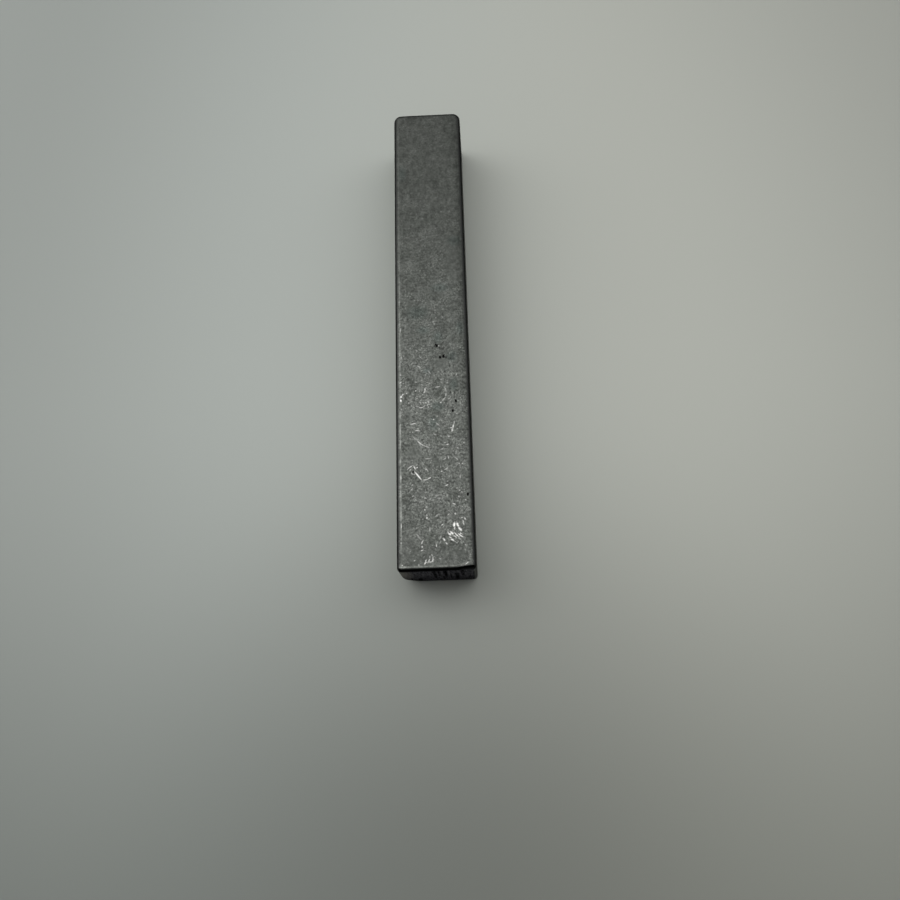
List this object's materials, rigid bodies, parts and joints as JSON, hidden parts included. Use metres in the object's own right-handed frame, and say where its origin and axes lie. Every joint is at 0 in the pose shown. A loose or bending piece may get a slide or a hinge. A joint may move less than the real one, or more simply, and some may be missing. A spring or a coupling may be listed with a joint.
{
  "type": "parallel key",
  "caption": "Square-ended parallel key: a plain steel bar of near-square section with softly rounded edges, for locking a hub to a shaft.",
  "frame": {"origin": "middle of the seat face, the face that lies on the floor of the shaft's keyseat", "axes": "+Y along the key's length, towards the end with the softer upright corners; +X across the key's width, square to a working flank; +Z out of the top face, through the key's height"},
  "size_m": [0.008, 0.056, 0.007],
  "materials": {
    "burnished_steel": "bright-drawn carbon steel, tumbled to a mottled satin grey, with fine scratches, nicks and small pits from handling"
  },
  "bodies": {
    "root": {"parallel_key": "burnished_steel"}
  },
  "joints": []
}
